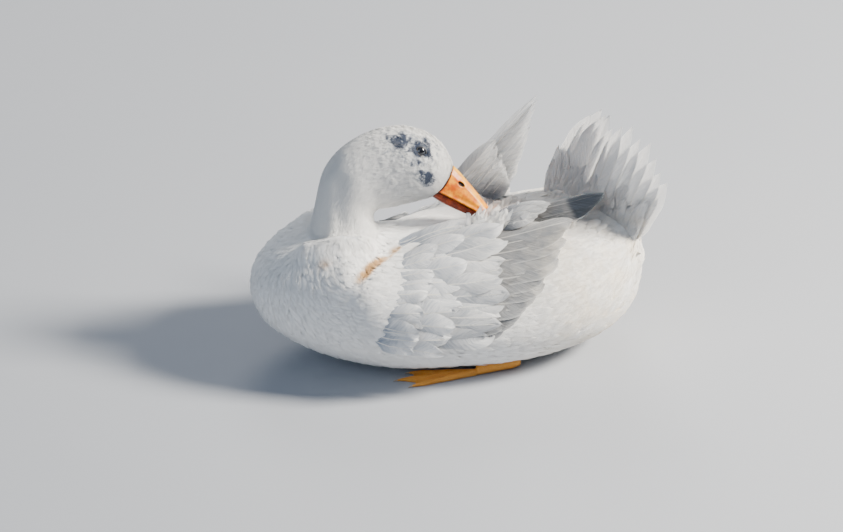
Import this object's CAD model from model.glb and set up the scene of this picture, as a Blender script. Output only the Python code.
import math
import random
from collections import defaultdict
from functools import partial

import bmesh
import bpy
import numpy as np
from mathutils import Matrix, Vector, noise
from mathutils.bvhtree import BVHTree
from mathutils.geometry import barycentric_transform


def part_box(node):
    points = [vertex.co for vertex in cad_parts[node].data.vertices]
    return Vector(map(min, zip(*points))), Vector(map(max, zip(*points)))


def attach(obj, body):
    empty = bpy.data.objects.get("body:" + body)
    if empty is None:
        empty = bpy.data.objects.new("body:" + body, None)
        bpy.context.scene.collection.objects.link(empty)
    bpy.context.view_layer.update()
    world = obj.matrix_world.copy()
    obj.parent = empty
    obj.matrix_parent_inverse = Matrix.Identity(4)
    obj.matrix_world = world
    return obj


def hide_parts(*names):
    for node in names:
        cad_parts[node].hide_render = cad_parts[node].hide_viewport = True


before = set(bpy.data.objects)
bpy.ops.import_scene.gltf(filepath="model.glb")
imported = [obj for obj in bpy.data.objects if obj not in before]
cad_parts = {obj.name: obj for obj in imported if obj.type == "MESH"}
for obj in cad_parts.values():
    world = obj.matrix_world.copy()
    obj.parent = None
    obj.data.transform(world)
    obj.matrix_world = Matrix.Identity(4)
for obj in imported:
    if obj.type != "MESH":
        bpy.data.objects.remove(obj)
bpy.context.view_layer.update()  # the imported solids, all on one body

# Lengths are in metres. The breast points to -X, the tail to +X, and the duck's left side is at -Y.
# The head has axes of its own, measured from the root of the bill.
head = {
    "root": Vector((-0.004, -0.006, 0.188)),
    "ahead": Vector((0.78, -0.22, -0.585)).normalized(),
    "roll": math.radians(19),
}
level = head["ahead"].cross(Vector((0, 0, 1))).normalized()
head["right"] = Matrix.Rotation(-head["roll"], 3, head["ahead"]) @ level
head["up"] = head["right"].cross(head["ahead"])

# The middle line of the head and neck, from the root of the bill to the root of the neck
neckLine = [
    (-0.004, -0.006, 0.188), (-0.03, -0.001, 0.202), (-0.0535, 0.002, 0.203), (-0.075, 0.001, 0.198),
    (-0.091, 0, 0.187), (-0.0995, 0, 0.1675), (-0.101, 0, 0.132), (-0.1005, 0, 0.104),
]


# Modelling helpers, each a step that is done by hand in the window


def pick(*pieces):
    bpy.ops.object.select_all(action="DESELECT")
    for piece in pieces:
        piece.select_set(True)
    bpy.context.view_layer.objects.active = pieces[0]


def applied(piece, kind, **settings):
    pick(piece)
    step = piece.modifiers.new(kind.lower(), kind)
    for key, value in settings.items():
        setattr(step, key, value)
    bpy.ops.object.modifier_apply(modifier=step.name)
    return piece


def smoothed(piece, times):
    return applied(piece, "SMOOTH", factor=0.5, iterations=times)


def remeshed(piece, size):
    return applied(piece, "REMESH", mode="VOXEL", voxel_size=size, adaptivity=0)


def inEditMode(piece, step, **settings):  # on the whole mesh
    pick(piece)
    bpy.ops.object.mode_set(mode="EDIT")
    bpy.ops.mesh.select_all(action="SELECT")
    step(**settings)
    bpy.ops.object.mode_set(mode="OBJECT")
    return piece


def facingOut(piece):
    return inEditMode(piece, bpy.ops.mesh.normals_make_consistent, inside=False)


def named(piece, name):
    piece.name = piece.data.name = name
    return piece


def joined(pieces, name):
    pick(*pieces)
    bpy.ops.object.join()
    return named(pieces[0], name)


def linked(name, data):
    made = bpy.data.objects.new(name, data)
    bpy.context.scene.collection.objects.link(made)
    return made


def copyOf(nodeName, name):
    made = linked(name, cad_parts[nodeName].data.copy())
    made.data.materials.clear()
    return inEditMode(made, bpy.ops.mesh.remove_doubles, threshold=1e-5)


def ball(segments, rings):
    bpy.ops.mesh.primitive_uv_sphere_add(segments=segments, ring_count=rings, radius=1)
    return bpy.context.object


def numbersOf(items, field, width=3):
    flat = np.empty(len(items) * width, np.float32)
    items.foreach_get(field, flat)
    return flat.reshape(-1, width).astype(np.float64)


def pointsOf(piece):
    return numbersOf(piece.data.vertices, "co")


def normalsOf(piece):
    return numbersOf(piece.data.vertex_normals, "vector")


def movePoints(piece, points):
    piece.data.vertices.foreach_set("co", points.astype(np.float32).ravel())
    piece.data.update()


def treeOf(piece):
    return BVHTree.FromObject(piece, bpy.context.evaluated_depsgraph_get())


def smoothStep(low, high, value):
    share = np.clip((value - low) / (high - low), 0, 1)
    return share * share * (3 - 2 * share)


def hump(value, middle, reach):  # 1 at the middle, falling off to both sides
    return np.exp(-(((value - middle) / reach) ** 2))


def spread(table, share):  # a value between the entries of an evenly spaced table
    return float(np.interp(share * (len(table) - 1), range(len(table)), table))


def unit(vectors):
    return vectors / np.maximum(np.linalg.norm(vectors, axis=-1, keepdims=True), 1e-9)


def nearestOnLine(points, line):  # distance, how far along, and the way of the line there
    line = np.array(line)
    start, step = line[:-1], line[1:] - line[:-1]
    lengths = np.linalg.norm(step, axis=1)
    share = np.clip(np.einsum("nsk,sk->ns", points[:, None] - start, step) / lengths**2, 0, 1)
    away = np.linalg.norm(points[:, None] - (start + step * share[..., None]), axis=2)
    best, rows = away.argmin(axis=1), np.arange(len(points))
    part = share[rows, best]
    corners = unit(np.gradient(line, axis=0))
    tangent = unit(corners[best] * (1 - part[:, None]) + corners[best + 1] * part[:, None])
    travelled = np.concatenate([[0], np.cumsum(lengths)])[best] + part * lengths[best]
    return away[rows, best], travelled, tangent


def headCoordinates(points):
    off = points - np.array(head["root"])
    return [off @ np.array(head[axis]) for axis in ("ahead", "right", "up")]


def wavering(points, scale, seed=0):  # smooth noise from -1 to 1 at each point
    shift = Vector((seed, seed * 1.7, seed * 0.3))
    return np.array([noise.noise(Vector(point) * scale + shift) for point in points])


# Colours

palette = {
    "plume": (0.94, 0.935, 0.915), "shade": (0.74, 0.775, 0.82), "streak": (0.8, 0.815, 0.84),
    "stain": (0.5, 0.25, 0.06), "warm": (0.9, 0.79, 0.62), "wet": (0.02, 0.034, 0.075),
    "damp": (0.3, 0.34, 0.41), "dim": (0.7, 0.7, 0.7), "downDark": (0.86, 0.865, 0.87),
    "downFair": (0.93, 0.925, 0.91), "flight": (0.9, 0.9, 0.895), "root": (0.33, 0.375, 0.45),
    "panel": (0.16, 0.165, 0.17), "hidden": (0.06, 0.066, 0.078), "barbs": (0.62, 0.66, 0.72),
    "grain": (0.66, 0.7, 0.76), "dull": (0.62, 0.65, 0.7), "slate": (0.03, 0.04, 0.058),
    "slateFair": (0.115, 0.135, 0.165), "shaft": (0.86, 0.84, 0.78),
    "billDeep": (0.5, 0.08, 0), "billFair": (0.83, 0.32, 0), "ridge": (0.97, 0.52, 0.01),
    "underDeep": (0.13, 0.014, 0.004), "underFair": (0.36, 0.05, 0.006), "nail": (0.86, 0.55, 0.26),
    "lip": (0.22, 0.045, 0.015), "rim": (0.1, 0.025, 0.012), "nostril": (0.012, 0.006, 0.005),
    "irisDark": (0.004, 0.006, 0.012), "irisFair": (0.018, 0.022, 0.034), "pupil": (0.002, 0.002, 0.003),
    "eyeRing": (0.012, 0.012, 0.014), "lidDark": (0.022, 0.03, 0.048), "lidFair": (0.075, 0.088, 0.115),
    "lidEdge": (0.05, 0.046, 0.044), "footDark": (0.8, 0.27, 0.02), "footFair": (0.93, 0.46, 0.08),
    "footSeam": (0.5, 0.17, 0.03), "clawDark": (0.3, 0.2, 0.12), "clawFair": (0.62, 0.5, 0.36),
    "floorDark": (0.37, 0.395, 0.44), "floorFair": (0.395, 0.415, 0.455),
}


# Shader maths: a socket that takes part in Python arithmetic


class Value:
    def __init__(self, paint, socket):
        self.paint, self.socket = paint, socket

    def __add__(self, other):
        return self.paint.maths("ADD", self, other)

    def __sub__(self, other):
        return self.paint.maths("SUBTRACT", self, other)

    def __rsub__(self, other):
        return self.paint.maths("SUBTRACT", other, self)

    def __mul__(self, other):
        return self.paint.maths("MULTIPLY", self, other)

    __radd__, __rmul__ = __add__, __mul__


class Paint:
    def __init__(self, name, **settings):
        self.material = bpy.data.materials.new(name)
        self.material.use_nodes = True
        self.tree = self.material.node_tree
        self.shader = self.tree.nodes["Principled BSDF"]
        self.feed(self.shader, settings)

    def link(self, value, socket):
        if isinstance(value, Value):
            self.tree.links.new(value.socket, socket)
        elif isinstance(value, str):
            socket.default_value = (*palette[value], 1)
        else:
            socket.default_value = value

    def feed(self, node, values):
        for key, value in values.items():
            self.link(value, node.inputs[key.replace("_", " ")])

    def add(self, kind, out=0, settings=None, **sockets):
        node = self.tree.nodes.new("ShaderNode" + kind)
        for key, value in (settings or {}).items():
            setattr(node, key, value)
        self.feed(node, sockets)
        return Value(self, node.outputs[out])

    def maths(self, operation, *values, clamp=False):
        node = self.tree.nodes.new("ShaderNodeMath")
        node.operation, node.use_clamp = operation, clamp
        for value, socket in zip(values, node.inputs):
            self.link(value, socket)
        return Value(self, node.outputs[0])

    def mix(self, factor, first, second, blend="MIX"):
        node = self.tree.nodes.new("ShaderNodeMix")
        node.data_type, node.blend_type = "RGBA", blend
        for value, index in ((factor, 0), (first, 6), (second, 7)):
            self.link(value, node.inputs[index])
        return Value(self, node.outputs[2])

    def step(self, low, high, value):  # a smooth rise from 0 at low to 1 at high
        return self.add("MapRange", settings={"interpolation_type": "SMOOTHSTEP"}, Value=value,
                        From_Min=low, From_Max=high)

    def mark(self, name):
        return self.add("Attribute", out="Fac", settings={"attribute_name": name})

    def place(self):
        return self.add("TexCoord", out="Object")

    def vane(self):  # across and along a feather, each from 0 to 1
        both = self.add("UVMap", settings={"uv_map": "vane"})
        node = self.tree.nodes.new("ShaderNodeSeparateXYZ")
        self.link(both, node.inputs[0])
        return Value(self, node.outputs[0]), Value(self, node.outputs[1])

    def noise(self, vector, scale, detail, roughness):
        return self.add("TexNoise", Vector=vector, Scale=scale, Detail=detail, Roughness=roughness)

    def lanes(self, x, y, z, scale, detail, roughness):
        return self.noise(self.add("CombineXYZ", X=x, Y=y, Z=z), scale, detail, roughness)

    def cloud(self, scale, detail=3, roughness=0.6):
        return self.noise(self.place(), scale, detail, roughness)

    def base(self, factor, first, second):
        self.colour = self.mix(factor, first, second)

    def layer(self, factor, colour, blend="MIX"):  # a colour over those so far
        self.colour = self.mix(factor, self.colour, colour, blend)

    def stain(self, patchy, weight):
        stained = self.step(0.45, 0.85, self.mark("stain") + patchy * 0.55 - 0.12)
        self.layer(stained * weight, "stain")

    def done(self, bump=None, **values):  # bump is height, strength and distance
        self.feed(self.shader, dict(values, Base_Color=self.colour))
        if bump:
            made = self.add("Bump", Height=bump[0], Strength=bump[1], Distance=bump[2])
            self.link(made, self.shader.inputs["Normal"])
        return self.material


# Markings, which the skin and the coat share

marks = {
    "wetPatches": [  # along, up, reach along, reach across, lean, weight
        (-0.0585, 0.012, 0.0125, 0.0075, 0.62, 1.1),
        (-0.0385, 0.0165, 0.013, 0.01, 0.5, 1),
        (-0.0455, 0.012, 0.008, 0.0042, 0.55, 0.95),
        (-0.03, 0.0165, 0.0055, 0.0055, 0, 1.05),
        (-0.0335, 0.004, 0.0095, 0.0065, 0.3, 0.58),
        (-0.016, -0.0045, 0.0095, 0.0085, 0, 1.05),
        (-0.0245, -0.002, 0.005, 0.0045, 0, 0.75),
        (-0.0705, 0.0075, 0.0055, 0.0045, 0.3, 0.66),
        (-0.0378, 0.0255, 0.006, 0.0035, 0, 0.62),
        (-0.028, 0.028, 0.0045, 0.004, 0, 0.55),
    ],
    "stainLine": [(-0.055, -0.037, 0.134), (-0.0795, -0.0625, 0.131), (-0.103, -0.089, 0.126)],
    "stainReach": 0.0062,
    "mottled": (-0.042, 0.01, 0.038, 0.026, 0.42),  # along, up, reach of each, weight
    "faintStain": (-0.131, -0.058, 0.13),
    "faintReach": 0.011,
    "headWithin": (0.05, 0.04),  # of the middle line
    "headUntil": (0.105, 0.085),
    "warmBehind": (0.02, 0.17),
    "warmBelow": (0.19, 0.12),
}


def markings(points):
    along, right, up = headCoordinates(points)
    away, travelled, _ = nearestOnLine(points, neckLine)
    onHead = smoothStep(*marks["headWithin"], away) * smoothStep(*marks["headUntil"], travelled)
    middleAlong, middleUp, reach, high, weight = marks["mottled"]
    wet = weight * np.exp(-((along - middleAlong) / reach) ** 4 - ((up - middleUp) / high) ** 4)
    for middleAlong, middleUp, reach, across, lean, weight in marks["wetPatches"]:
        a, b = along - middleAlong, up - middleUp
        c, s = math.cos(lean), math.sin(lean)
        far = ((a * c + b * s) / reach) ** 2 + ((b * c - a * s) / across) ** 2
        wet = np.maximum(wet, weight * np.exp(-far**1.5))
    lineAway = nearestOnLine(points, marks["stainLine"])[0]
    spot = np.linalg.norm(points - np.array(marks["faintStain"]), axis=1)
    stain = np.maximum(hump(lineAway, 0, marks["stainReach"]), 0.45 * hump(spot, 0, marks["faintReach"]))
    warm = smoothStep(*marks["warmBehind"], points[:, 0]) * smoothStep(*marks["warmBelow"], points[:, 2])
    wet = wet * onHead * smoothStep(0.004, 0.014, np.abs(right))
    return {"wet": wet, "stain": stain, "warm": warm, "onHead": onHead}


def giveMarks(piece, values):
    for name, numbers in values.items():
        layer = piece.data.attributes.new(name, "FLOAT", "POINT")
        layer.data.foreach_set("value", np.asarray(numbers, np.float32))


# Materials


def plumagePaint():  # contour feathers, with their barbs along the vane
    paint = Paint("plumage", Roughness=0.75, Sheen_Weight=0.2, Subsurface_Weight=0.35,
                  Subsurface_Scale=0.0025, Subsurface_Radius=(1, 0.95, 0.9))
    u, v = paint.vane()
    quirk = paint.mark("quirk")
    streak = paint.lanes(u * 9, v * 1.3, quirk * 40, 1.6, 4, 0.6)
    patchy, fine = paint.cloud(60, 4), paint.cloud(420)
    cloudy, clumps = paint.cloud(16, 3, 0.5), paint.cloud(170, 3, 0.55)
    paint.base(paint.step(-0.2, 0.45, v), "shade", "plume")
    paint.layer(paint.step(0.5, 0.72, streak) * 0.65, "streak")
    patches = paint.step(0.3, 0.65, patchy) * 0.45 + paint.step(0.35, 0.65, cloudy) * 0.6
    paint.layer(paint.mark("warm") * patches, "warm")
    paint.layer(quirk * 0.1, "dim", "MULTIPLY")
    stain = paint.step(0.2, 0.85, paint.mark("stain") * (streak * 1.1 + patchy * 1.1))
    paint.layer(stain * 0.95, "stain")
    wet = paint.mark("wet") * (1 + (fine - 0.5) * 1.4 + (clumps - 0.5) * 2.6)
    paint.layer(paint.step(0.34, 0.62, wet) * 0.9, "damp")
    soaked = paint.step(0.55, 0.85, wet)
    paint.layer(soaked, "wet")
    return paint.done((streak, 0.55, 0.0008), Roughness=0.78 - soaked * 0.4)


def flightPaint(name, softness):  # long feathers, with a shaft and slanting barbs
    paint = Paint(name, Roughness=0.55, Sheen_Weight=0.1, Subsurface_Weight=softness,
                  Subsurface_Scale=0.0035, Subsurface_Radius=(1, 0.96, 0.9))
    u, v = paint.vane()
    quirk, bright, panel = (paint.mark(key) for key in ("quirk", "bright", "panel"))
    side = paint.maths("ABSOLUTE", u - 0.5)
    slant = v * 9 - side * 3
    apart = quirk * 40  # no two feathers alike
    barbs = paint.lanes(slant * 5, side * 0.9, apart, 1.5, 5, 0.65)
    broad = paint.lanes(slant, side, apart, 1.1, 2, 0.5)
    streaks = paint.lanes(slant, side, apart, 3.2, 3, 0.6)
    patchy = paint.cloud(45, 4)
    shaft = paint.step(0.03, 0.012, side)
    dull = 1 - bright * 0.9
    paint.base(paint.maths("ADD", paint.step(0.1, 0.8, v), bright, clamp=True), "root", "flight")
    paint.layer(panel, paint.mix(paint.step(0.4, 0.78, v), "hidden", "panel"))
    paint.layer(paint.step(0.42, 0.75, barbs) * dull * 0.6, "barbs", "MULTIPLY")
    paint.layer(paint.step(0.46, 0.66, streaks) * dull * 0.75, "grain", "MULTIPLY")
    paint.layer(paint.step(0.45, 0.7, broad) * (0.35 - panel * 0.3), "plume")
    paint.layer(quirk * dull * 0.4, "dull", "MULTIPLY")
    paint.layer(paint.mark("warm") * paint.step(0.35, 0.7, patchy) * 0.7, "warm")
    paint.layer(paint.step(0.42, 0.5, side) * 0.3, "plume")
    paint.stain(patchy, 0.7)
    slate = paint.step(0.3, 0.75, paint.mark("slate") + (barbs - 0.5) * 0.35)
    paint.layer(slate, paint.mix(paint.step(0.4, 0.75, barbs) * 0.6, "slate", "slateFair"))
    paint.layer(shaft * ((1 - slate * 0.8) * (1 - panel * 0.7)), "shaft")
    return paint.done((barbs * 0.6 + streaks * 0.8, 0.6, 0.0012), Roughness=0.62 - shaft * 0.2)


def skinPaint():  # what shows between the tufts
    paint = Paint("skin_down", Roughness=0.85)
    patchy, fine = paint.cloud(60, 4), paint.cloud(420)
    paint.base(paint.step(0.35, 0.7, fine), "downDark", "downFair")
    paint.layer(paint.mark("warm") * 0.4, "warm")
    paint.stain(patchy, 0.8)
    paint.layer(paint.step(0.42, 0.7, paint.mark("wet") + (patchy - 0.5) * 0.6), "wet")
    return paint.done((fine, 0.4, 0.0008))


def billPaint(name, lower):  # orange horn, paler on the ridge and dark at the feather edge
    paint = Paint(name, Roughness=0.36, Coat_Weight=0.06, Coat_Roughness=0.2, Specular_IOR_Level=0.25)
    mottle, grain, broad = paint.cloud(130, 5), paint.cloud(900), paint.cloud(45, 3, 0.5)
    streaks = paint.lanes(paint.mark("across") * 900, paint.mark("along") * 60, 0, 1, 4, 0.6)
    deep, fair = ("underDeep", "underFair") if lower else ("billDeep", "billFair")
    paint.base(paint.step(0.35, 0.68, mottle), deep, fair)
    paint.layer(paint.step(0.5, 0.72, streaks) * 0.55, deep)
    if not lower:
        paint.layer(paint.mark("ridge") * paint.step(0.3, 0.66, broad) * 0.75, "ridge")
        paint.layer(paint.mark("nail") * 0.6, "nail")
    paint.layer(paint.mark("lip") * 0.85, "lip")
    paint.layer(paint.step(0.25, 0.8, paint.mark("rim") + (mottle - 0.5) * 0.5) * 0.9, "rim")
    hole = paint.mark("hole")
    paint.layer(hole, "nostril")
    return paint.done((mottle * 0.4 + streaks * 0.5 + grain * 0.3, 0.4, 0.0005),
                      Roughness=0.34 + grain * 0.12 + hole * 0.4)


def eyePaint():
    paint = Paint("eye", Roughness=0.05, Coat_Weight=1, Coat_Roughness=0.02)
    ring = paint.mark("ring")
    iris = paint.mix(paint.cloud(1500), "irisDark", "irisFair")
    paint.base(paint.step(0.42, 0.36, ring), iris, "pupil")
    paint.layer(paint.step(0.86, 0.95, ring), "eyeRing")
    return paint.done()


def lidPaint():
    paint = Paint("lid_skin", Roughness=0.45)
    fine = paint.cloud(900, 4)
    paint.base(fine, "lidDark", "lidFair")
    paint.layer(paint.mark("edge"), "lidEdge")
    return paint.done((fine, 0.5, 0.0004))


def footPaint():
    paint = Paint("foot_skin", Roughness=0.5)
    edge = paint.step(0, 0.14, paint.add("TexVoronoi", settings={"feature": "DISTANCE_TO_EDGE"},
                                         Vector=paint.place(), Scale=760))
    mottle = paint.cloud(120, 4)
    paint.base(mottle, "footDark", "footFair")
    paint.layer((1 - edge) * 0.4, "footSeam")
    return paint.done((edge, 0.6, 0.0006), Roughness=0.42 + mottle * 0.2)


def clawPaint():
    paint = Paint("claw", Roughness=0.35)
    stretched = paint.add("Mapping", Vector=paint.place(), Scale=(1, 4, 4))
    paint.base(paint.noise(stretched, 300, 3, 0.5), "clawDark", "clawFair")
    return paint.done()


def floorPaint():
    paint = Paint("floor", Roughness=0.9)
    paint.base(paint.cloud(3, 2, 0.5), "floorDark", "floorFair")
    return paint.done()


def put(piece, material):
    piece.data.materials.clear()
    piece.data.materials.append(material)
    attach(piece, "root")
    return piece


print("materials")
plumage, down = plumagePaint(), skinPaint()
flight, covert = flightPaint("flight_feathers", 0.65), flightPaint("wing_coverts", 0.3)


# The guide: the torso of the solids, smoothed

guideBody = applied(copyOf("torso", "guideBody"), "SUBSURF", levels=1, render_levels=1)
torsoTree = treeOf(guideBody)
bodyAxis = {"height": 0.072, "width": 0.112, "rise": 0.07}


def bodySpot(x, turn, lift=0):  # turn is the angle in degrees down from the spine, left negative
    angle = math.radians(turn)
    beam = Vector((0, bodyAxis["width"] * math.sin(angle), bodyAxis["rise"] * math.cos(angle)))
    found, normal, _, _ = torsoTree.ray_cast(Vector((x, 0, bodyAxis["height"])), beam.normalized())
    return found + normal * lift, normal


# The skin: torso, neck, head, the pads of the wings and the roots of hands and tail

skinLook = {
    "voxel": 0.0023,
    "smoothing": 5,
    "bodyDepth": 0.003,
    "neckDepth": 0.0014,
    "headDepth": 0.0008,
    "pads": {-1: (-0.046, 0.062, 64, 46), 1: (-0.036, 0.059, 100, 27)},  # x, half length, turn, half turn
    "lift": 0.0003,
    "neckWithin": (0.056, 0.044),  # of the middle line
    "neckAbove": (0.126, 0.152),
    "padHeight": 0.0105,
    "padSink": 0.006,
    "lumps": [  # middle, long axis, second axis, half sizes
        ((0.066, -0.034, 0.1465), (1, -0.08, 0.1), (0, 0.85, 0.5), (0.021, 0.0095, 0.0085)),
        ((0.032, 0.055, 0.137), (1, 0.05, -0.05), (0, 0.5, 0.9), (0.036, 0.014, 0.011)),
        ((0.149, 0.002, 0.13), (0.62, -0.74, -0.25), (0.12, -0.21, 0.97), (0.058, 0.026, 0.017)),
        ((0.172, -0.034, 0.113), (0.5, -0.5, -0.7), (0.7, 0.7, 0), (0.032, 0.02, 0.02)),
    ],
    "folds": [  # line, reach across it, height
        ([(-0.123, -0.012, 0.205), (-0.128, -0.018, 0.185), (-0.124, -0.024, 0.165),
          (-0.118, -0.03, 0.142)], 0.006, 0.002),
        ([(-0.11, -0.024, 0.2), (-0.113, -0.028, 0.182), (-0.108, -0.03, 0.16)], 0.01, -0.003),
        ([(-0.14, -0.03, 0.147), (-0.105, -0.034, 0.1485), (-0.08, -0.031, 0.147)], 0.0045, -0.0085),
        ([(-0.078, -0.042, 0.146), (-0.058, -0.034, 0.146), (-0.04, -0.026, 0.146)], 0.008, -0.005),
        (marks["stainLine"], 0.006, -0.0055),
        ([(-0.143, -0.034, 0.134), (-0.1295, -0.04, 0.138), (-0.11, -0.042, 0.141),
          (-0.092, -0.04, 0.141)], 0.0105, 0.014),
    ],
}


def wingPad(side):
    middle, half, middleTurn, halfTurn = skinLook["pads"][side]
    pad = ball(40, 20)
    points = pointsOf(pad)
    for i, (a, b, c) in enumerate(points):
        x = middle + half * math.copysign(abs(a) ** 0.85, a) - 0.01 * b
        turn = middleTurn + halfTurn * math.copysign(abs(b) ** 0.85, b)
        lift = skinLook["padHeight"] * c**0.8 if c > 0 else skinLook["padSink"] * c
        points[i] = bodySpot(x, turn * side, lift)[0]
    movePoints(pad, points)
    return pad


def lump(middle, along, across, sizes):
    made = ball(32, 20)
    along, across = Vector(along).normalized(), Vector(across).normalized()
    axes = np.array([along, across, along.cross(across).normalized()])
    movePoints(made, np.array(middle) + (pointsOf(made) * np.array(sizes)) @ axes)
    return made


def neckShare(points):  # 1 on the head and neck, 0 on the torso
    away, travelled, tangent = nearestOnLine(points, neckLine)
    share = smoothStep(*skinLook["neckWithin"], away) * smoothStep(*skinLook["neckAbove"], points[:, 2])
    return share, travelled, tangent


def makeSkin():
    flesh = [applied(copyOf(name, name + "Flesh"), "DISPLACE", strength=skinLook["lift"], mid_level=0)
             for name in ("torso", "neck", "head")]
    flesh += [facingOut(wingPad(side)) for side in (-1, 1)]
    flesh += [facingOut(lump(*sizes)) for sizes in skinLook["lumps"]]
    skin = smoothed(remeshed(joined(flesh, "skin"), skinLook["voxel"]), skinLook["smoothing"])
    points, normals = pointsOf(skin), normalsOf(skin)
    share, travelled, _ = neckShare(points)
    onHead = smoothStep(0.115, 0.08, travelled)
    depth = skinLook["neckDepth"] + (skinLook["headDepth"] - skinLook["neckDepth"]) * onHead
    depth = skinLook["bodyDepth"] * (1 - share) + depth * share
    points = points - normals * depth[:, None]
    for line, reach, height in skinLook["folds"]:
        bulge = height * hump(nearestOnLine(points, line)[0], 0, reach)
        points = points + normals * bulge[:, None]
    movePoints(skin, points)
    return applied(smoothed(skin, 2), "TRIANGULATE")


skin = makeSkin()
giveMarks(skin, markings(pointsOf(skin)))
inEditMode(skin, bpy.ops.uv.smart_project, angle_limit=math.radians(66), island_margin=0.004)
skin.data.uv_layers[0].name = "OFBake"
skin.data.shade_smooth()
put(skin, down)
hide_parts("torso", "neck", "head")
skinTree = treeOf(skin)
skinCorners = np.array([tuple(triangle.vertices) for triangle in skin.data.polygons])
skinPoints = pointsOf(skin)
skinUv = numbersOf(skin.data.uv_layers["OFBake"].data, "uv", 2).reshape(-1, 3, 2)
print("skin", len(skinCorners), "triangles")


def unwrapped(point):  # where a root lies on the unwrap of the skin
    found, _, face, _ = skinTree.find_nearest(Vector(point))
    corners = [Vector(corner) for corner in skinPoints[skinCorners[face]]]
    flat = [Vector((*uv, 0)) for uv in skinUv[face]]
    spot = barycentric_transform(found, *corners, *flat)
    return spot.x, spot.y


# Feathers: stems are centre lines, and a vane is spread along each

vane = {
    "floorGap": 0.0003, "patch": 0.003, "shaftWidth": 0.07, "fringeFrom": 0.55, "steepest": 0.25,
    "round": (1.35, 0.35, 2, 0.006, 0.5),  # how rows crowd, where it is full, curve, least, power
    "pointed": (1.25, 0.3, 1.7, 0.05, 1),
}


def endShape(rows, full, base=0.5, kind="round"):  # share of the width along a vane, root to tip
    crowd, fullAt, curve, least, power = vane[kind]
    share = 1 - (1 - np.linspace(0, 1, rows)) ** crowd
    rise = base + (1 - base) * smoothStep(0, fullAt, share)
    tail = np.clip((share - full) / (1 - full), 0, 1)
    return share, rise * np.maximum(1 - tail**curve, least) ** power


def meshFrom(name, points, faces):
    data = bpy.data.meshes.new(name)
    data.vertices.add(len(points))
    data.vertices.foreach_set("co", points.astype(np.float32).ravel())
    data.loops.add(faces.size)
    data.loops.foreach_set("vertex_index", faces.astype(np.int32).ravel())
    data.polygons.add(len(faces))
    data.polygons.foreach_set("loop_start", np.arange(0, faces.size, 3, dtype=np.int32))
    data.update(calc_edges=True)
    data.validate()
    return linked(name, data)


def giveUv(piece, name, values):
    layer = piece.data.uv_layers.new(name=name)
    layer.data.foreach_set("uv", values.astype(np.float32).ravel())


def cells(grid):  # two triangles to each cell of a grid of point numbers
    a, b, d, e = grid[:-1, :-1], grid[:-1, 1:], grid[1:, :-1], grid[1:, 1:]
    return np.stack([a, b, e, a, e, d], axis=-1).reshape(-1, 3)


def vaneFaces(top, under):  # over, below and both ends of one vane, and the way each face is turned
    parts = [cells(top), cells(under)[:, ::-1]]
    for row, way in ((0, 1), (-1, -1)):
        loop = np.concatenate([top[row], under[row][-2:0:-1]])
        fan = np.stack([np.full(len(loop) - 2, loop[0]), loop[2:], loop[1:-1]], axis=1)
        parts.append(fan[:, ::way])
    return np.concatenate(parts), np.repeat([1, -1, 1, 1], [len(part) for part in parts])


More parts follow.
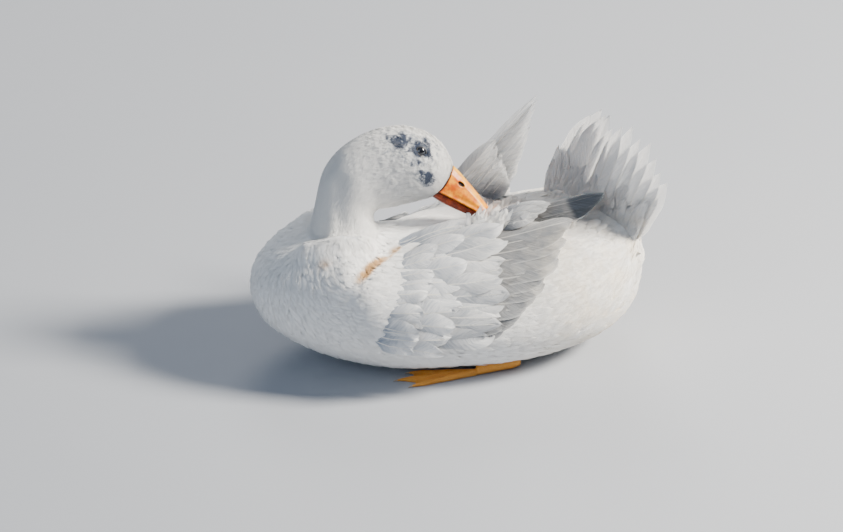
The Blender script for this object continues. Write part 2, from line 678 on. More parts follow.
def spreadVanes(name, stems, outline, look, rng, byPoint=True, extra=None):
    # Centre lines and ways up are by feather, row and axis, widths by feather, the outline by row
    (centre, up, width), (share, shape), look = stems, outline, defaultdict(float, look)
    lanes, thick = np.array(look["lanes"]), look["thickness"]
    count, rows, columns = *centre.shape[:2], len(lanes)
    along, wide = share[:, None], width[:, None, None]
    ahead = unit(np.gradient(centre, axis=1))
    across = unit(np.cross(ahead, up))
    over = np.cross(across, ahead)
    length = np.linalg.norm(np.diff(centre, axis=1), axis=2).sum(axis=1)
    twist = rng.normal(0, look["twist"], count)[:, None] * share**1.3 + look["roll"]
    c, s = np.cos(twist)[..., None], np.sin(twist)[..., None]
    across, over = across * c + over * s, over * c - across * s
    ragged = 1 - look["ragged"] * rng.random((count, rows, 1)) * along
    reach = (width[:, None] * shape / 2)[..., None] * lanes * (1 + look["lean"] * np.sign(lanes)) * ragged
    cup = (width[:, None] * shape * look["camber"])[..., None] * (0.5 - lanes**2)
    shaft = look["shaft"] * hump(lanes, 0, vane["shaftWidth"]) * (1 - 0.7 * along)
    curl = (rng.normal(0, look["curl"], count) * length)[:, None, None] * along**2
    ripple = look["ripple"] * wide * np.sin(
        rng.random((count, 1, 1)) * 6.3 + along * look["waves"] + lanes * 2.1)
    fringe = rng.normal(0, look["fringe"], (count, 1, columns))
    forward = (fringe * smoothStep(vane["fringeFrom"], 1, along) * length[:, None, None]
               + look["sweep"] * wide * np.abs(lanes) * along)
    top = (centre[:, :, None] + across[:, :, None] * reach[..., None]
           + over[:, :, None] * (cup + shaft + curl + ripple * along)[..., None]
           + ahead[:, :, None] * forward[..., None])
    index = np.arange(rows * columns).reshape(rows, columns)
    under = index[:, [0, -1]]
    if thick:
        inner = rows * columns + np.arange(rows * (columns - 2)).reshape(rows, -1)
        under = np.hstack([index[:, :1], inner, index[:, -1:]])

    def withUnderside(grid, drop=0):
        parts = [grid, grid[:, :, 1:-1] - drop] if thick else [grid]
        return np.concatenate([part.reshape(len(grid), -1, grid.shape[-1]) for part in parts], axis=1)

    points = withUnderside(top, over[:, :, None] * (thick * (1 - 0.6 * along[..., None])))
    points[..., 2] = np.maximum(points[..., 2], vane["floorGap"])
    perVane, points = points.shape[1], points.reshape(-1, 3)
    local = withUnderside(np.stack(np.broadcast_arrays(0.5 + 0.5 * lanes, along), axis=-1)[None])[0]
    faces, turned = vaneFaces(index, under)
    faces = (faces + (np.arange(count) * perVane)[:, None, None]).reshape(-1, 3)
    made = meshFrom(name, points, faces)
    roots = np.array([unwrapped(point) for point in centre[:, 0]])
    patch = roots[:, None] + (local - 0.5) * vane["patch"]
    giveUv(made, "OFBake", patch.reshape(-1, 2)[faces.ravel()])
    giveUv(made, "vane", np.tile(local, (count, 1))[faces.ravel()])
    values = markings(points) if byPoint else {
        key: np.repeat(found, perVane) for key, found in markings(centre[:, 1]).items()}
    values["quirk"] = np.repeat(rng.random(count), perVane)
    for key, rule in (extra or {}).items():
        values[key] = rule(points) if callable(rule) else np.full(len(points), rule)
    giveMarks(made, values)
    made.data.shade_smooth()
    # Normals lean to the way up of the coat, which hides where one vane ends on the next
    facing = unit(np.cross(np.gradient(top, axis=2), np.gradient(top, axis=1)))
    facing *= np.sign(np.einsum("nrck,nrk->nrc", facing, over))[..., None]
    facing = unit(facing * (1 - look["soft"]) + unit(up)[:, :, None] * look["soft"])
    atCorners = withUnderside(facing).reshape(-1, 3)[faces] * np.tile(turned, count)[:, None, None]
    a, b, c = (points[faces[:, k]] for k in range(3))
    flat = unit(np.cross(b - a, c - a))[:, None]
    fits = (atCorners * flat).sum(axis=2, keepdims=True) > vane["steepest"]
    atCorners = np.where(fits, atCorners, flat)
    made.data.normals_split_custom_set(atCorners.reshape(-1, 3).astype(np.float32))
    return made


# The coat of small feathers

coat = {
    "lengthFromBill": ([0, 0.02, 0.05, 0.09, 0.14, 0.2],
                       [0.0036, 0.0048, 0.0072, 0.0105, 0.014, 0.0165]),
    "breastLength": 0.018,
    "rumpLength": 0.025,
    "fine": {  # head and neck
        "gap": 0.0004, "gapByLength": 0.05, "width": 0.27, "rows": 5, "yaw": 0.12,
        "end": (0.25, 0.65, "pointed"),
        "perPiece": 7200, "steps": [0, 0.0044, 0.0058, 0.0078, 0.01, 0.0125, 0.04],
        "look": {"lanes": [-1, 0, 1], "camber": 0.11, "fringe": 0.03, "twist": 0.04, "curl": 0.002,
                 "soft": 0.55},
    },
    "broad": {  # torso
        "gap": 0.0014, "gapByLength": 0.1, "width": 0.5, "rows": 6, "end": (0.45,), "yaw": 0.15,
        "perPiece": 3300, "steps": [0, 0.0125, 0.018, 0.0215, 0.04],
        "look": {"lanes": [-1, -0.5, 0, 0.5, 1], "camber": 0.13, "fringe": 0.06, "twist": 0.035,
                 "curl": 0.004, "ragged": 0.16, "ripple": 0.012, "waves": 5, "soft": 0.66},
    },
    "depthFromBill": ([0.02, 0.07, 0.12], [0.0009, 0.0008, 0.0014]),
    "eyeClear": 0.0074,
    "eyeShort": (0.007, 0.015),
    "ruffledAt": (0.035, 0.04),  # along the neck line, with its reach
    "ruffle": 0.9,
}


def featherLength(points):
    share, travelled, _ = neckShare(points)
    onBody = coat["breastLength"] + (coat["rumpLength"] - coat["breastLength"]) * smoothStep(
        -0.14, 0.12, points[:, 0])
    return np.interp(travelled, *coat["lengthFromBill"]) * share + onBody * (1 - share)


def layOfCoat(points, normals):  # the way the feathers point
    share, _, tangent = neckShare(points)
    x = points[:, 0]
    collar = points - np.array([-0.1, 0, 0.126])
    near = smoothStep(0.12, 0.03, np.linalg.norm(collar, axis=1))[:, None]
    slope = 0.4 * smoothStep(0, 0.12, x) - 0.8 * smoothStep(-0.11, -0.19, x)
    slope = slope + 1.6 * smoothStep(0.14, 0.2, x)
    aft = np.stack([np.ones_like(x), np.zeros_like(x), slope], axis=1)
    body = unit(aft) * (1 - near) + unit(collar) * near
    way = tangent * share[:, None] + body * (1 - share[:, None])
    return unit(way - normals * np.einsum("nk,nk->n", way, normals)[:, None])


def sprinkle(kind, onNeck, rng):  # evenly spread roots over the skin, closer where feathers are small
    corners = skinPoints[skinCorners]
    area = np.linalg.norm(np.cross(corners[:, 1] - corners[:, 0], corners[:, 2] - corners[:, 0]), axis=1) / 2
    middle = corners.mean(axis=1)
    wanted = (neckShare(middle)[0] > 0.5) == onNeck
    length = featherLength(middle)
    around = [(i, j, k) for i in (-1, 0, 1) for j in (-1, 0, 1) for k in (-1, 0, 1)]
    kept = []
    for low, high in zip(kind["steps"], kind["steps"][1:]):
        inside = np.flatnonzero((length >= low) & (length < high) & wanted)
        if not len(inside):
            continue
        gap = kind["gap"] + kind["gapByLength"] * float(length[inside].mean())
        tries = int(2.2 * area[inside].sum() / gap**2)
        chosen = rng.choice(inside, tries, p=area[inside] / area[inside].sum())
        a, b = rng.random((2, tries, 1))
        flip = a + b > 1
        a, b = np.where(flip, 1 - a, a), np.where(flip, 1 - b, b)
        spots = corners[chosen, 0] * (1 - a - b) + corners[chosen, 1] * a + corners[chosen, 2] * b
        taken = {}
        for spot, cell in zip(spots.tolist(), np.floor(spots / gap).astype(int).tolist()):
            others = [other for step in around
                      for other in taken.get(tuple(map(sum, zip(cell, step))), ())]
            if all(math.dist(spot, other) > gap for other in others):
                taken.setdefault(tuple(cell), []).append(spot)
        kept += [spot for spots in taken.values() for spot in spots]
    return np.array(kept)


def onSkin(points):
    nearest = [skinTree.find_nearest(Vector(point)) for point in points]
    return np.array([found[0] for found in nearest]), np.array([found[1] for found in nearest])


def stemsOnSkin(roots, normals, way, length, rise, share):
    # Centre lines that bend with the skin, and rise off it from root to tip
    half, _ = onSkin(roots + way * (length / 2)[:, None])
    turned = unit(half - roots)
    tip, tipUp = onSkin(half + turned * (length / 2)[:, None])
    t = share[None, :, None]
    first, second, third = (1 - t) * (1 - 2 * t), 4 * t * (1 - t), t * (2 * t - 1)
    centre = roots[:, None] * first + half[:, None] * second + tip[:, None] * third
    up = unit(normals[:, None] * (1 - t) + tipUp[:, None] * t)
    return centre + up * (rise[:, None] * (0.1 + 0.9 * share**0.8))[..., None], up


def coatFeathers(name, onNeck, rng):
    kind = coat[name]
    roots, normals = onSkin(sprinkle(kind, onNeck, rng))
    eyes = [(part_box(node)[0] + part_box(node)[1]) / 2 for node in ("eye_left", "eye_right")]
    eyeAway = np.min([np.linalg.norm(roots - np.array(middle), axis=1) for middle in eyes], axis=0)
    clear = (eyeAway > coat["eyeClear"]) & ((headCoordinates(roots)[0] < 0.003) | (not onNeck))
    roots, normals, eyeAway = roots[clear], normals[clear], eyeAway[clear]
    share, travelled, _ = neckShare(roots)
    ruffled = markings(roots)["onHead"] * hump(travelled, *coat["ruffledAt"])
    length = featherLength(roots) * rng.uniform(0.85, 1.15, len(roots))
    length = length * (0.4 + 0.6 * smoothStep(*coat["eyeShort"], eyeAway))
    way = layOfCoat(roots, normals)
    yaw = (rng.normal(0, kind["yaw"], len(roots)) + 0.9 * ruffled * wavering(roots, 170))[:, None]
    way = way * np.cos(yaw) + np.cross(normals, way) * np.sin(yaw)
    deep = skinLook["bodyDepth"] * (1 - share) + share * np.interp(travelled, *coat["depthFromBill"])
    clump = np.clip(wavering(roots, 240, 3) + 0.15, 0, 1)
    rise = deep * rng.uniform(0.8, 1.12, len(roots)) * (1 + coat["ruffle"] * 2.2 * ruffled * clump)
    outline = endShape(kind["rows"], *kind["end"])
    width = length * kind["width"] * (1 - 0.25 * ruffled)
    stems = *stemsOnSkin(roots, normals, way, length, rise, outline[0]), width
    count = math.ceil(len(roots) / kind["perPiece"])
    for k, part in enumerate(np.array_split(np.argsort(roots[:, 0], kind="stable"), count)):
        made = spreadVanes(f"coat_{name}_{k + 1}", [stem[part] for stem in stems], outline,
                           kind["look"], rng, byPoint=not onNeck)
        put(made, plumage)
    print("coat", name, len(roots), "feathers in", count, "pieces")


coatRandom = np.random.default_rng(7)
coatFeathers("fine", True, coatRandom)
coatFeathers("broad", False, coatRandom)


# Rows of long feathers

wideLanes = [-1, -0.86, -0.6, -0.3, -0.07, 0, 0.07, 0.3, 0.6, 0.86, 1]
longLook = {"lanes": wideLanes, "camber": 0.07, "shaft": 0.0005, "thickness": 0.0004, "ragged": 0.05,
            "fringe": 0.008, "twist": 0.03, "ripple": 0.01, "waves": 6, "sweep": 0.1}
softLook = {"lanes": wideLanes, "camber": 0.18, "shaft": 0.0003, "thickness": 0.0004, "ragged": 0.16,
            "fringe": 0.03, "twist": 0.28, "curl": 0.06, "ripple": 0.045, "waves": 5, "sweep": 0.12}


def layStem(root, heading, length, heights, share):  # along the torso, as high off it as heights say
    points, ups = [], []
    point, ahead, before = root, heading.normalized(), 0
    for part in share:
        found, normal, _, _ = torsoTree.find_nearest(point + ahead * (length * (part - before)))
        point = found + normal * (heights[0] + (heights[1] - heights[0]) * part)
        if points:
            ahead = ahead.lerp((point - points[-1]).normalized(), 0.5).normalized()
        points.append(point)
        ups.append(normal)
        before = part
    return points, ups


def stacked(feathers):  # centre lines, ways up and widths
    return [np.array(part) for part in zip(*feathers)]


def rowOnBody(key, side, rng, share):
    row, right = dict(zip(arm["columns"], arm[key])), side > 0
    count = round(row["count"] * arm["rightShare"]) if right else row["count"]
    feathers = []
    for i in range(count):
        place = i / (count - 1)
        turn = spread(arm["rightTurns"] if right else row["turn"], place)
        root, normal = bodySpot(spread(row["rootX"], place), turn * side, row["clear"][0])
        drop = spread(row["drop"], place) + rng.uniform(-row["ruffle"], row["ruffle"])
        heading = Vector((math.cos(drop), 0, -math.sin(drop)))
        heading = heading - normal * heading.dot(normal)
        rise = 0 if right else spread(row["rise"], place)
        high = row["clear"][1] + rise + rng.uniform(0, row["stand"]) + 0.0002 * (i % 3)
        length = spread(row["length"], place) * rng.uniform(0.96, 1.04)
        stem = layStem(root, heading, length, (row["clear"][0], high), share)
        feathers.append((*stem, row["width"] * rng.uniform(0.92, 1.08)))
    return stacked(feathers)


def straightRow(key, rng, share):
    row = dict(zip(hands["columns"], hands[key]))
    facing = unit(np.array(row["facing"]))
    bow = facing * (row["bow"] * 4 * share * (1 - share))[:, None]
    feathers = []
    for i in range(row["count"]):
        place = i / (row["count"] - 1)
        off = facing * (row["fan"] * (place - 0.5) + row["lift"])
        a, b = (np.array([spread(axis, place) for axis in zip(*row[line])]) + off
                for line in ("starts", "ends"))
        b = b + unit(b - a) * rng.uniform(-row["uneven"], row["uneven"])
        stem = a + (b - a) * share[:, None] + bow
        feathers.append((stem, [facing] * len(share), row["width"] * rng.uniform(0.95, 1.05)))
    return stacked(feathers)


def slateTip(points):  # the dark tip of the folded hand
    return smoothStep(0.104, 0.128, points[:, 0] + 0.45 * (points[:, 2] - 0.17))


arm = {
    "rightTurns": (80, 91, 102, 112),
    "rightShare": 0.7,
    "columns": ("count", "width", "rootX", "turn", "length", "clear", "rise", "drop", "ruffle", "stand"),
    "secondaries": (
        15, 0.026, (-0.03, -0.04, -0.05, -0.058), (31, 54, 73, 90), (0.15, 0.128, 0.106, 0.078),
        (0.002, 0.0032), (0.02, 0.008, 0.001, 0), (-0.04, 0.02, 0.08, 0.06), 0.01, 0.0005),
    "greater": (
        12, 0.03, (-0.034, -0.046, -0.054, -0.062), (33, 56, 77, 98), (0.078, 0.084, 0.088, 0.074),
        (0.004, 0.0075), (0.014, 0.006, 0.001, 0), (-0.04, 0.03, 0.08, 0.05), 0.06, 0.002),
    "median": (
        11, 0.028, (-0.048, -0.064, -0.072, -0.078), (34, 57, 77, 95), (0.06, 0.062, 0.062, 0.056),
        (0.005, 0.0115), (0.004, 0, 0, 0), (-0.04, 0.05, 0.1, 0.1), 0.12, 0.003),
    "lesser": (
        12, 0.023, (-0.062, -0.08, -0.088, -0.09), (36, 57, 77, 93), (0.042, 0.044, 0.044, 0.042),
        (0.004, 0.013), (0.002, 0, 0, 0), (0, 0.1, 0.12, 0.1), 0.16, 0.002),
    "scapulars": (
        7, 0.027, (-0.05, -0.04), (17, 31), (0.066, 0.09), (-0.001, 0.0095), (0.002, 0.011),
        (-0.05, 0), 0.06, 0.003),
}


def featheredWing(name, node, material, seed, rows):  # a row: name, stems, outline, look, marks
    rng, draw = np.random.default_rng(seed), random.Random(seed)
    made = [spreadVanes(key, stems(draw, outline[0]), outline, look, rng, extra=extra)
            for key, stems, outline, look, extra in rows]
    whole = put(joined(made, name), material)
    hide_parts(node)


def foldedArm(side, seed, name):
    long, soft = endShape(16, 0.78), endShape(14, 0.6)
    flat, ruffled = dict(softLook, roll=side * 0.07), dict(softLook, roll=side * 0.05)
    rows = [("secondaries", long, dict(longLook, roll=side * 0.07, lean=-0.25 * side), {"panel": 0.85}),
            ("greater", soft, flat, {"panel": 0.3}), ("median", soft, ruffled, {}),
            ("lesser", soft, ruffled, {}), ("scapulars", soft, ruffled, {})]
    featheredWing(f"wing_{name}_feathers", f"wing_{name}_arm", covert, seed, [
        (key, partial(rowOnBody, key, side), *rest) for key, *rest in rows[:5 if side < 0 else 4]])


foldedArm(-1, 31, "left")
foldedArm(1, 47, "right")
print("folded arms")

hands = {
    "columns": ("count", "starts", "ends", "facing", "width", "bow", "fan", "lift", "uneven"),
    "leftPrimaries": (
        9, [(0.056, -0.03, 0.1535), (0.058, -0.042, 0.1485)],
        [(0.15, -0.049, 0.179), (0.147, -0.052, 0.1755), (0.139, -0.055, 0.1705)],
        (-0.1, -0.62, 0.78), 0.014, -0.004, -0.0048, 0, 0.002),
    "leftCoverts": (
        9, [(0.046, -0.028, 0.1535), (0.049, -0.044, 0.149)],
        [(0.098, -0.04, 0.168), (0.076, -0.052, 0.159)],
        (-0.1, -0.62, 0.78), 0.0125, 0.003, -0.0048, 0.0016, 0.002),
    "rightPrimaries": (
        9, [(0.006, 0.057, 0.134), (0.058, 0.058, 0.134)],
        [(0.107, 0.074, 0.233), (0.102, 0.072, 0.219), (0.0985, 0.071, 0.204),
         (0.095, 0.07, 0.19), (0.0915, 0.069, 0.178), (0.083, 0.068, 0.163)],
        (-0.25, -0.9, 0.3), 0.013, 0.003, 0.012, -0.0006, 0.0045),
    "rightCoverts": (
        9, [(0.006, 0.052, 0.135), (0.056, 0.052, 0.136)], [(0.058, 0.058, 0.19), (0.074, 0.057, 0.153)],
        (-0.25, -0.9, 0.3), 0.02, 0.003, 0.0096, 0.0016, 0.002),
}


def wingHand(side, seed, roll, taper, panel, slate):
    featheredWing(f"hand_{side}_feathers", f"wing_{side}_hand", flight, seed, [
        ("primaries", partial(straightRow, side + "Primaries"), endShape(18, taper, kind="pointed"),
         dict(longLook, roll=roll, lean=0.3), {"panel": panel, "slate": slate}),
        ("coverts", partial(straightRow, side + "Coverts"), endShape(12, 0.6),
         dict(softLook, roll=roll, twist=0.08, curl=0.01), {"panel": 0.3, "slate": slate})])


wingHand("left", 53, -0.1, 0.8, 0.85, slateTip)
wingHand("right", 59, 0.1, 0.7, 0.3, 0)
print("hands")

tail = {
    "base": Vector((0.15, 0, 0.1345)),
    "across": Vector((0.62, -0.74, -0.25)).normalized(),
    "up": Vector((0.12, -0.21, 0.97)).normalized(),
    "spread": (-0.056, 0.052),
    "lengths": [0.106, 0.122, 0.112, 0.118, 0.124, 0.11, 0.122, 0.13, 0.119, 0.122, 0.108, 0.094, 0.086],
    "lean": [0.27, 0.26, 0.22, 0.18, 0.15, 0.15, 0.16, 0.17, 0.2, 0.22, 0.25, 0.27, 0.3],
    "crown": 0.01,
    "bow": 0.012,
    "width": 0.02,
    "coverts": [  # distance before or behind the fan, length, width, count
        (0.01, 0.058, 0.016, 17), (-0.009, 0.064, 0.016, 17), (0.0125, 0.046, 0.014, 22),
        (-0.0115, 0.05, 0.014, 22), (0.015, 0.034, 0.012, 26), (-0.0138, 0.038, 0.012, 26),
    ],
    "covertLook": dict(softLook, fringe=0.03, ragged=0.16, twist=0.08, curl=0.012, camber=0.09,
                       thickness=0.0003, soft=0.35),
}


def tailFeathers():
    rng, draw = np.random.default_rng(61), random.Random(61)
    base, across, up, ends = (tail[key] for key in ("base", "across", "up", "spread"))
    normal = across.cross(up).normalized()
    outline, soft = endShape(20, 0.68, kind="pointed"), endShape(11, 0.3, 0.6)
    feathers, groups = [], []
    for i, (length, lean) in enumerate(zip(tail["lengths"], tail["lean"])):
        place = i / (len(tail["lengths"]) - 1)
        crown = normal * (tail["crown"] * (0.6 - abs(2 * place - 1)))
        start = base + across * spread(ends, place) + crown
        way = (up + across * lean).normalized()
        bow = normal * tail["bow"]
        stem = [start + way * length * part + bow * (part * (1 - part)) for part in outline[0]]
        feathers.append((stem, [normal] * len(stem), tail["width"] * draw.uniform(0.95, 1.08)))
    half = len(feathers) // 2
    for row, roll in ((feathers[:half], -0.1), (feathers[half:], 0.1)):
        groups.append(spreadVanes("rectrices", stacked(row), outline, dict(longLook, roll=roll), rng,
                                  extra={"bright": 0.75}))
    for off, length, wide, count in tail["coverts"]:
        feathers = []
        for i in range(count):
            place = i / (count - 1)
            rise = normal * (off * (0.95 - 0.45 * abs(2 * place - 1)))
            start = base + across * (0.95 * spread(ends, place)) + rise - up * draw.uniform(0.002, 0.01)
            way = up + across * (0.06 + 0.2 * place + draw.gauss(0, 0.08))
            reach = way.normalized() * length * draw.uniform(0.8, 1.15) - normal * (0.15 * off)
            stem = [start + reach * part for part in soft[0]]
            feathers.append((stem, [normal * math.copysign(1, off)] * len(stem),
                             wide * draw.uniform(0.85, 1.15)))
        groups.append(spreadVanes("tailCoverts", stacked(feathers), soft, tail["covertLook"], rng,
                                  extra={"bright": 0.75}))
    whole = put(joined(groups, "tail_feathers"), flight)
    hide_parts("tail")


tailFeathers()
print("tail")


# Loose fluffed feathers on the back, round the tip of the bill

fluff = {
    "patches": [  # x from and to, turn from and to, how many, length, how far up, heading
        (-0.03, 0.02, -34, -18, 34, 0.024, 0.5, 10),
        (0.06, 0.14, -24, 10, 90, 0.02, 0.4, 0),
        (0.152, 0.184, -62, -20, 70, 0.027, 0, 0),
        (0.152, 0.184, 20, 62, 64, 0.027, 0, 0),
        (0.02, 0.13, 8, 34, 60, 0.022, 0.3, 0),
        (-0.004, 0.028, -114, -102, 14, 0.018, 0.22, 0),
    ],
    "clumps": [  # lowest and highest corner of the roots, how many, way they point, length
        ((0.014, -0.05, 0.142), (0.066, -0.036, 0.148), 150, (0.35, 0.3, 0.85), 0.021),
        ((0.026, -0.03, 0.138), (0.07, -0.014, 0.144), 90, (0.4, 0.1, 0.75), 0.018),
        ((0.034, -0.008, 0.137), (0.076, 0.01, 0.141), 90, (0.3, -0.15, 0.85), 0.018),
        ((0.17, -0.044, 0.104), (0.181, -0.034, 0.113), 40, (0.25, -0.3, 0.92), 0.017),
        ((0.158, -0.04, 0.112), (0.176, -0.026, 0.12), 36, (0.2, -0.25, 0.95), 0.017),
    ],
    "sink": 0.002,
    "lie": 0.0042,
    "look": dict(softLook, lanes=[-1, -0.75, -0.4, 0, 0.4, 0.75, 1], fringe=0.08, ragged=0.3,
                 twist=0.3, curl=0.05, camber=0.08, thickness=0.0002, soft=0.35),
}


def fluffedFeathers():
    rng, draw = np.random.default_rng(71), random.Random(71)
    outline = endShape(9, 0.35, 0.4)
    share = outline[0]
    standing, lying = [], []
    for fromX, toX, fromTurn, toTurn, count, length, stand, heading in fluff["patches"]:
        for _ in range(count):
            spot, _ = bodySpot(draw.uniform(fromX, toX), draw.uniform(fromTurn, toTurn))
            root, normal, _, _ = skinTree.find_nearest(spot)
            yaw = math.radians(heading) + draw.gauss(0, 0.4)
            ahead = Vector((math.cos(yaw), math.sin(yaw), 0.1))
            if not stand:  # these lie along the skin, as the coat does
                ahead = Vector(layOfCoat(np.array([root]), np.array([normal]))[0]) + ahead * 0.1
            ahead = (ahead - normal * ahead.dot(normal)).normalized()
            long = length * draw.uniform(0.7, 1.2)
            tilt = stand * draw.uniform(0.4, 1.2)
            line = [root - normal * fluff["sink"]]
            for before, part in zip(share, share[1:]):
                lift = tilt * (1 - 0.55 * part)
                way = ahead * math.cos(lift) + normal * math.sin(lift)
                point = line[-1] + way * (long * (part - before))
                if not stand:
                    found, over, _, _ = skinTree.find_nearest(point)
                    point = found + over * (fluff["lie"] * part**0.8)
                line.append(point)
            up = normal * math.cos(tilt * 0.8) - ahead * math.sin(tilt * 0.8)
            (standing if stand else lying).append(
                (line, [up] * len(line), long * draw.uniform(0.45, 0.7)))
    for low, high, count, way, length in fluff["clumps"]:
        atBill = low[0] < 0.15  # the others are at the root of the tail
        for _ in range(count):
            root = Vector([draw.uniform(*ends) for ends in zip(low, high)])
            ahead = (Vector(way) + Vector([draw.gauss(0, 0.3) for _ in range(3)])).normalized()
            bend = Vector((0.6, 0.1, -0.5)) * (draw.uniform(0.1, 0.5) if atBill else 0)
            long = length * draw.uniform(0.7, 1.2)
            line = [root + ahead * (long * part) + bend * (long * part**2) for part in share]
            facing = Vector((-0.35, -0.75, 0.5)) if atBill else Vector((0.1, -0.9, 0.3))
            up = facing + ahead * draw.gauss(0, 0.3)
            standing.append((line, [up] * len(line), long * draw.uniform(0.2, 0.38)))
    groups = [spreadVanes("fluff", stacked(feathers), outline, look, rng) for feathers, look in (
        (standing, fluff["look"]), (lying, dict(coat["broad"]["look"], twist=0.1)))]
    put(joined(groups, "back_fluff"), plumage)


fluffedFeathers()
print("fluff")


# The bill

bill = {
    "voxel": 0.00075,
    "smoothing": 4,
    "nostril": (0.0175, 0.0085),  # along, up
    "nostrilReach": (0.0042, 0.0019),
    "nostrilRing": (0.0052, 0.0032),
    "lipLine": ([0, 0.018, 0.042, 0.061], [-0.011, -0.0085, -0.0055, -0.005]),
    "ribGap": 0.0016,
    "ribDepth": 0.0003,
    "nailFrom": 0.056,
    "nailHeight": 0.0008,
}


def billHalf(node, name, lower):
    piece = smoothed(remeshed(copyOf(node, name), bill["voxel"]), bill["smoothing"])
    points, normals = pointsOf(piece), normalsOf(piece)
    along, right, up = headCoordinates(points)
    (middle, high), (reachAlong, reachUp) = bill["nostril"], bill["nostrilReach"]
    overLip = up - np.interp(along, *bill["lipLine"])
    nailStart = bill["nailFrom"]
    if lower:
        ribs = 0.5 + 0.5 * np.sin(along * 2 * math.pi / bill["ribGap"])
        bulge = -bill["ribDepth"] * ribs * hump(overLip, -0.0016, 0.001)
    else:
        ringAlong, ringUp = bill["nostrilRing"]
        ring = np.sqrt(((along - middle) / ringAlong) ** 2 + ((up - high) / ringUp) ** 2)
        bulge = (0.0005 * hump(overLip, 0.0012, 0.0009)
                 - 0.0006 * hump(overLip, 0.004, 0.0018) * smoothStep(0.01, 0.03, along)
                 + bill["nailHeight"] * smoothStep(nailStart, nailStart + 0.003, along)
                 * smoothStep(0.007, 0.004, np.abs(right)) + 0.00018 * hump(ring, 1, 0.3))
    movePoints(piece, points + normals * bulge[:, None])
    near = np.array([rimTree.find_nearest(Vector(point))[3] for point in points])
    hole = ((along - middle) / reachAlong) ** 2 + ((up - high) / reachUp) ** 2
    giveMarks(piece, {
        "rim": smoothStep(0.0022, 0.0006, near),
        "lip": smoothStep(0.001, 0, np.abs(overLip)) * (0.6 if lower else 0.9),
        "ridge": smoothStep(0.3, 0.95, normals @ np.array(head["up"])) * smoothStep(0.062, 0.04, along),
        "nail": smoothStep(nailStart - 0.001, nailStart + 0.003, along),
        "hole": smoothStep(1.15, 0.75, hole) * (0 if lower else 1),
        "along": along,
        "across": np.abs(right) - up,
    })
    piece.data.shade_smooth()
    put(piece, billPaint(name, lower))
    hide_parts(node)


rim = copyOf("head", "headForRim")
rimTree = treeOf(rim)
bpy.data.objects.remove(rim)
billHalf("bill_upper", "bill_top", False)
billHalf("bill_lower", "bill_underside", True)
print("bill")


# Eyes and lids

eye = {
    "bulge": 0.0005,
    "lidRadius": 0.0074,
    "openLong": 0.0049,
    "openHigh": 0.0036,
    "lidDepth": 0.0022,
    "lidThickness": 0.0007,
    "wrinkle": 0.00018,
}


def cutLids(mesh):  # the opening for the eye, and the half inside the head
    work = bmesh.from_edit_mesh(mesh)
    gone = []
    for face in work.faces:
        x, y, z = face.calc_center_median() * eye["lidRadius"]
        if (x / eye["openLong"]) ** 2 + (y / eye["openHigh"]) ** 2 < 1 or z < eye["lidDepth"]:
            gone.append(face)
    bmesh.ops.delete(work, geom=gone, context="FACES")
    bmesh.update_edit_mesh(mesh)


def eyeAndLids(node, name):
    low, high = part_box(node)
    middle, radius = (low + high) / 2, (high - low).x / 2
    _, onFace, _, _ = skinTree.find_nearest(middle)
    side = math.copysign(1, (middle - head["root"]).dot(head["right"]))
    outward = (head["right"] * side * 0.9 + onFace * 0.1 + head["up"] * 0.12).normalized()
    forward = (head["ahead"] - outward * head["ahead"].dot(outward)).normalized()
    upward = outward.cross(forward)
    axes = np.array([forward, upward * math.copysign(1, upward.dot(head["up"])), outward])

    made = named(ball(56, 36), name)
    points = pointsOf(made)
    out = points[:, 2].copy()
    points = points * (radius + eye["bulge"] * smoothStep(0.75, 1, out))[:, None]
    movePoints(made, np.array(middle) + points @ axes)
    giveMarks(made, {"ring": np.clip(np.sqrt(1 - np.clip(out, 0, 1) ** 2) / 0.78, 0, 2)})
    made.data.shade_smooth()
    put(facingOut(made), eyeMaterial)
    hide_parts(node)

    lids = named(ball(64, 48), name + "_lids")
    inEditMode(lids, cutLids, mesh=lids.data)
    points = pointsOf(lids) * eye["lidRadius"]
    level = np.sqrt((points[:, 0] / eye["openLong"]) ** 2 + (points[:, 1] / eye["openHigh"]) ** 2)
    wrinkle = eye["wrinkle"] * np.sin((level - 1) * 26) * smoothStep(1, 1.2, level)
    points = points * (1 + wrinkle / eye["lidRadius"])[:, None]
    movePoints(lids, np.array(middle) + points @ axes)
    giveMarks(lids, {"edge": smoothStep(1.22, 1.04, level)})
    smoothed(applied(facingOut(lids), "SOLIDIFY", thickness=eye["lidThickness"], offset=0), 2)
    lids.data.shade_smooth()
    put(lids, lidMaterial)


eyeMaterial, lidMaterial = eyePaint(), lidPaint()
eyeAndLids("eye_left", "eyeball_left")
eyeAndLids("eye_right", "eyeball_right")
print("eyes")


# Feet

foot = {
    "voxel": 0.0008, "clawLength": 0.0055, "clawRadius": 0.0013, "out": 0.07, "heel": 0.019,
    "skinLift": 0.0002, "floorGap": 0.0002, "clawHigh": 0.0018, "clawDrop": 0.0014,
    "toes": [(-0.048, 0.016), (-0.06, 0.001), (-0.046, -0.013)],
}


def makeClaw(tip, ahead):
    bpy.ops.mesh.primitive_cone_add(vertices=16, radius1=foot["clawRadius"], radius2=0.0002,
                                    depth=foot["clawLength"], end_fill_type="TRIFAN")
    claw = applied(bpy.context.object, "SUBSURF", levels=1, render_levels=1)
    across, rise, height = pointsOf(claw).T
    far = height / foot["clawLength"] + 0.5
    line = np.array(tip)[None] + np.outer((far - 0.25) * foot["clawLength"], np.array(ahead))
    line += np.outer(across, (-ahead.y, ahead.x, 0))
    line[:, 2] = np.maximum(foot["clawHigh"] + rise - foot["clawDrop"] * far**2, foot["floorGap"])
    movePoints(claw, line)
    return facingOut(claw)


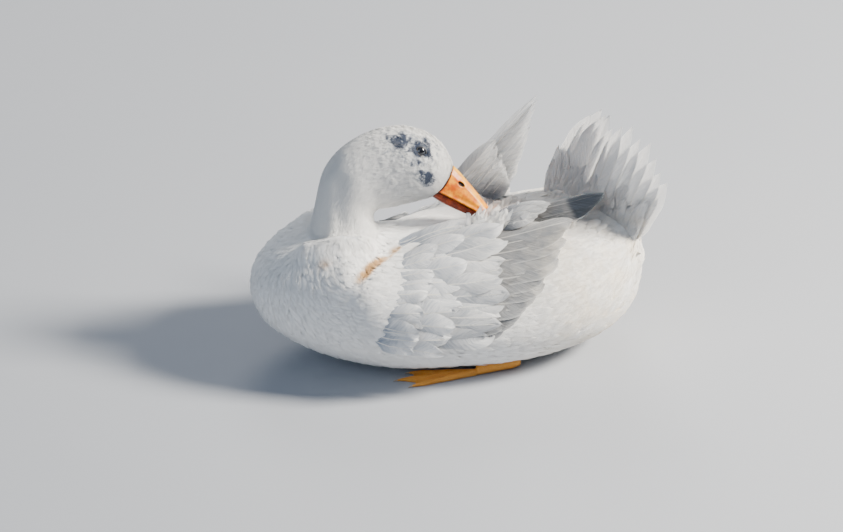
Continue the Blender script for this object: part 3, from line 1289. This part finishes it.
def makeFoot(side, name):
    pieces = [applied(copyOf(node + name, node + "skin"), "DISPLACE", strength=foot["skinLift"],
                      mid_level=0) for node in ("leg_", "foot_")]
    whole = smoothed(remeshed(joined(pieces, f"foot_{name}_skin"), foot["voxel"]), 3)
    points = pointsOf(whole)
    points[:, 2] = np.maximum(points[:, 2], foot["floorGap"])
    movePoints(whole, points)
    whole.data.shade_smooth()
    put(whole, footMaterial)
    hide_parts("leg_" + name, "foot_" + name)
    heel = Vector((foot["heel"], foot["out"] * side, 0))
    tips = [Vector((x, (foot["out"] + out) * side, 0)) for x, out in foot["toes"]]
    claws = joined([makeClaw(tip, (tip - heel).normalized()) for tip in tips], f"claws_{name}")
    claws.data.shade_smooth()
    put(claws, clawMaterial)


footMaterial, clawMaterial = footPaint(), clawPaint()
makeFoot(-1, "left")
makeFoot(1, "right")
print("feet")
bpy.data.objects.remove(guideBody)


# Floor, lights and camera

studio = {
    "azimuth": -10, "elevation": 27, "distance": 14, "frameWidth": 0.843, "sensor": 36,
    "middle": (-0.0225, 0.0786),
    "lights": [  # place, size, watts, colour
        ((2.3, -0.7, 1.9), 0.7, 350, (1, 0.93, 0.82)),
        ((-2.4, -2, 1.6), 2, 30, (0.72, 0.85, 1)),
        ((0.4, 2.6, 2.2), 1.4, 50, (1, 0.97, 0.92)),
    ],
    "sky": (0.66, 0.79, 1), "skyStrength": 0.28,
}


def makeFloor():
    bpy.ops.mesh.primitive_plane_add(size=30, location=(0, 0, 0))
    floor = bpy.context.object
    floor.name = "floor"
    floor.data.materials.append(floorPaint())


def makeLights():
    for i, (place, size, watts, colour) in enumerate(studio["lights"]):
        lamp = bpy.data.lights.new(f"softbox_{i + 1}", "AREA")
        lamp.energy, lamp.size, lamp.color = watts, size, colour
        held = linked(lamp.name, lamp)
        held.location = place
        held.rotation_euler = (Vector((0, 0, 0.1)) - Vector(place)).to_track_quat("-Z", "Y").to_euler()
    world = bpy.data.worlds.new("studio")
    world.use_nodes = True
    backdrop = world.node_tree.nodes["Background"]
    backdrop.inputs["Color"].default_value = (*studio["sky"], 1)
    backdrop.inputs["Strength"].default_value = studio["skyStrength"]
    bpy.context.scene.world = world


def makeCamera():
    a, e = math.radians(studio["azimuth"]), math.radians(studio["elevation"])
    back = Vector((math.sin(a) * math.cos(e), -math.cos(a) * math.cos(e), math.sin(e)))
    turned = (-back).to_track_quat("-Z", "Y")
    aim = turned @ Vector((*studio["middle"], 0))
    lens = bpy.data.cameras.new("camera")
    lens.sensor_width = studio["sensor"]
    lens.lens = studio["sensor"] * studio["distance"] / studio["frameWidth"]
    lens.clip_end = 100
    camera = linked("camera", lens)
    camera.location = aim + back * studio["distance"]
    camera.rotation_mode = "QUATERNION"
    camera.rotation_quaternion = turned
    bpy.context.scene.camera = camera


makeFloor()
makeLights()
makeCamera()
print("stage")
